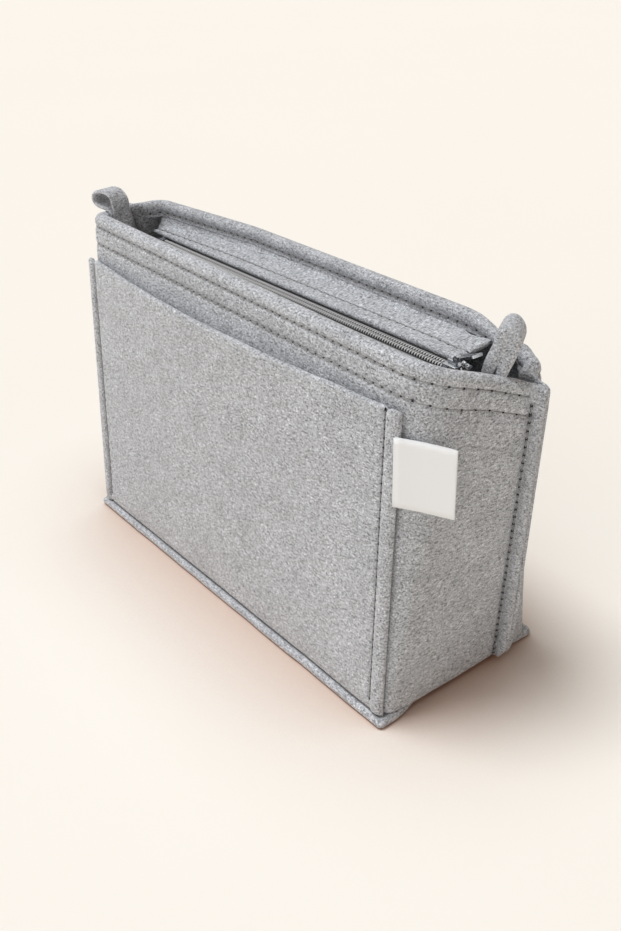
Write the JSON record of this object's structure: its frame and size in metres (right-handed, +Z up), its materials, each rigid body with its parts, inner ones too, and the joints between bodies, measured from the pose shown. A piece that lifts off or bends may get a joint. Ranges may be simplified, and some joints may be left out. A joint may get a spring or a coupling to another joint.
{
  "type": "purse organizer insert",
  "caption": "Soft felt box insert for a handbag, with hemmed rim, outer and inner slip pockets, a top zip with pull, and folded lifting loops at the side walls.",
  "frame": {"origin": "on the floor, under the middle of the base's flat underside", "axes": "+X to the right along the length, +Y from the front pocket to the back, +Z up"},
  "size_m": [0.2978, 0.107, 0.1978],
  "materials": {
    "felt": "thick pressed felt, matt, light grey with a faint fleck",
    "stiffener_board": "stiff flat board, matt",
    "zip_tape": "woven tape, grey",
    "zip_metal": "bright teeth and stops",
    "slider_metal": "bright plated slider and pull",
    "label_ribbon": "white woven ribbon, folded, nothing printed"
  },
  "bodies": {
    "insert": {"base_panel": "felt", "base_stiffener": "stiffener_board", "front_wrap": "felt", "back_wrap": "felt", "front_pocket": "felt", "back_pocket": "felt", "inner_front_pocket": "felt", "inner_back_pocket": "felt", "front_zip_flap": "felt", "back_zip_flap": "felt", "front_zip_tape": "zip_tape", "back_zip_tape": "zip_tape", "front_zip_teeth": "zip_metal", "back_zip_teeth": "zip_metal", "front_top_stop": "zip_metal", "back_top_stop": "zip_metal", "bottom_stop": "zip_metal", "side_label": "label_ribbon"},
    "slider": {"zip_slider": "slider_metal"},
    "pull": {"zip_pull": "slider_metal"},
    "left_strap": {"left_loop": "felt"},
    "right_strap": {"right_loop": "felt"}
  },
  "joints": [
    {"name": "zip_run", "type": "slide", "parent": "insert", "child": "slider", "axis": [1, 0, 0], "range_m": [-0.2275, 0]},
    {"name": "pull_flip", "type": "hinge", "parent": "slider", "child": "pull", "pos_m": [0.12475, -0.007, 0.1705], "axis": [0, -1, 0], "range_deg": [-15, 130]},
    {"name": "left_loop_bend", "type": "hinge", "parent": "insert", "child": "left_strap", "pos_m": [-0.1196, -0.0214, 0.1705], "axis": [0, 1, 0], "range_deg": [0, 40]},
    {"name": "right_loop_bend", "type": "hinge", "parent": "insert", "child": "right_strap", "pos_m": [0.1343, 0.0076, 0.158], "axis": [0, -1, 0], "range_deg": [0, 25]}
  ]
}
